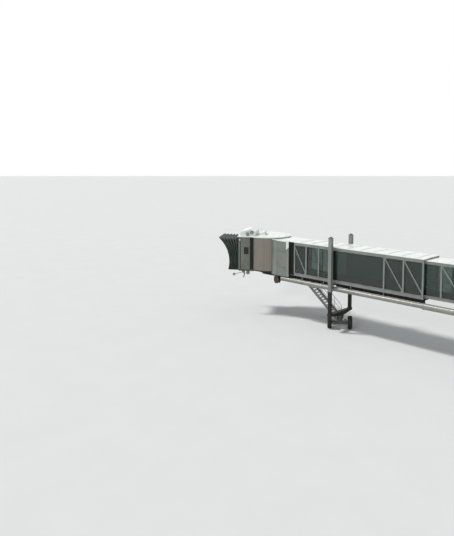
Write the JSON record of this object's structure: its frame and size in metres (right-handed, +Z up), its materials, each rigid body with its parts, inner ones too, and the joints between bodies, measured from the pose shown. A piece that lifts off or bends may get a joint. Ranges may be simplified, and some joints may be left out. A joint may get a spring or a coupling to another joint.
{
  "type": "telescoping passenger boarding bridge",
  "caption": "Glass-walled telescoping boarding bridge on a rotunda pedestal, with lift columns, a steerable bogie, a swinging cab with a folding canopy and a service stair.",
  "frame": {"origin": "centre of the rotunda pedestal's base plate, on the ground", "axes": "+Z up, +X from the aircraft towards the terminal along the tunnels, +Y to the side with the service stair"},
  "size_m": [36.4075, 7.0143, 8.46],
  "materials": {
    "dark_steel": "satin dark paint",
    "deck": "matte",
    "white_roof": "satin white paint",
    "grey_panel": "satin",
    "grey_steel": "satin grey paint",
    "curtain": "satin slats",
    "seal": "coated fabric",
    "glass": "tinted",
    "pipe": "satin",
    "box_panel": "satin",
    "rail": "galvanised look",
    "bogie_green": "satin",
    "tyre": "worn rubber",
    "rim": "satin",
    "cab_panel": "satin",
    "lamp": "dark housing",
    "hoist": "brown paint, dusty",
    "pad": "matte"
  },
  "bodies": {
    "pedestal": {"pedestal_column": "dark_steel", "rotunda_floor": "deck", "rotunda_roof": "white_roof", "terminal_portal": "grey_panel", "rotunda_curtains": "curtain"},
    "swing": {"swing_frame": "grey_steel"},
    "inner_tunnel": {"tunnel_seal": "seal", "inner_floor": "deck", "inner_roof": "white_roof", "inner_near_side": "grey_steel", "inner_far_side": "grey_steel", "inner_glass": "glass", "inner_pipe": "pipe"},
    "outer_tunnel": {"outer_floor": "deck", "outer_underframe": "dark_steel", "outer_roof": "white_roof", "outer_near_side": "grey_steel", "outer_far_side": "grey_steel", "outer_glass": "glass", "outer_pipe": "pipe", "tunnel_end_frame": "dark_steel", "lift_housings": "grey_steel", "transition_walls": "box_panel", "transition_roof": "white_roof", "service_door": "box_panel", "cab_turntable": "dark_steel", "cab_curtains": "curtain", "cable_hoist": "hoist", "stair_landing": "grey_steel", "landing_rail": "rail"},
    "stair": {"stair_stringers": "grey_steel", "stair_treads": "deck", "stair_handrails": "rail"},
    "carriage": {"lift_tubes": "dark_steel", "cross_beam": "dark_steel"},
    "bogie": {"bogie_frame": "bogie_green"},
    "left_wheel": {"left_tyre": "tyre", "left_rim": "rim"},
    "right_wheel": {"right_tyre": "tyre", "right_rim": "rim"},
    "cab": {"cab_floor": "deck", "cab_walls": "cab_panel", "cab_front_frame": "cab_panel", "cab_roof": "white_roof", "cab_hood": "white_roof", "cab_window": "glass", "cab_lamps": "lamp", "cab_bumper": "pad", "auto_leveller": "grey_steel", "canopy_folds": "seal"},
    "canopy": {"canopy_pad": "pad"}
  },
  "joints": [
    {"name": "tunnel_swing", "type": "hinge", "parent": "pedestal", "child": "swing", "pos_m": [0, 0, 4.1], "axis": [0, 0, 1], "range_deg": [-70, 70], "deforming": ["rotunda_curtains"]},
    {"name": "tunnel_pitch", "type": "hinge", "parent": "swing", "child": "inner_tunnel", "pos_m": [-2.35, 0, 4.4], "axis": [0, 1, 0], "range_deg": [-3.5, 1.5], "deforming": ["tunnel_seal"]},
    {"name": "telescope", "type": "slide", "parent": "inner_tunnel", "child": "outer_tunnel", "axis": [-1, 0, 0], "range_m": [-3, 5]},
    {"name": "lift", "type": "slide", "parent": "outer_tunnel", "child": "carriage", "axis": [0, 0, -1], "range_m": [-1.2, 0.6]},
    {"name": "bogie_steer", "type": "hinge", "parent": "carriage", "child": "bogie", "pos_m": [-20.52, 0, 1.2], "axis": [0, 0, 1], "range_deg": [-36, 144]},
    {"name": "left_roll", "type": "hinge", "parent": "bogie", "child": "left_wheel", "pos_m": [-21.24812, -0.52901, 0.58], "axis": [0.809, 0.5878, 0], "continuous": true},
    {"name": "right_roll", "type": "hinge", "parent": "bogie", "child": "right_wheel", "pos_m": [-19.79188, 0.52901, 0.58], "axis": [0.809, 0.5878, 0], "continuous": true},
    {"name": "cab_swing", "type": "hinge", "parent": "outer_tunnel", "child": "cab", "pos_m": [-29.1, 0, 4.2], "axis": [0, 0, 1], "range_deg": [-65, 25], "deforming": ["cab_curtains"]},
    {"name": "canopy_reach", "type": "slide", "parent": "cab", "child": "canopy", "axis": [-0.8192, -0.5736, 0], "range_m": [-0.33, 0.25], "deforming": ["canopy_folds"]},
    {"name": "stair_hinge", "type": "hinge", "parent": "outer_tunnel", "child": "stair", "pos_m": [-27.19, 2.4, 4.29], "axis": [0, 1, 0], "range_deg": [-15, 7]}
  ],
  "couplings": [
    {"joint": "lift", "follows": "tunnel_pitch", "m_per_rad": 18.17}
  ]
}
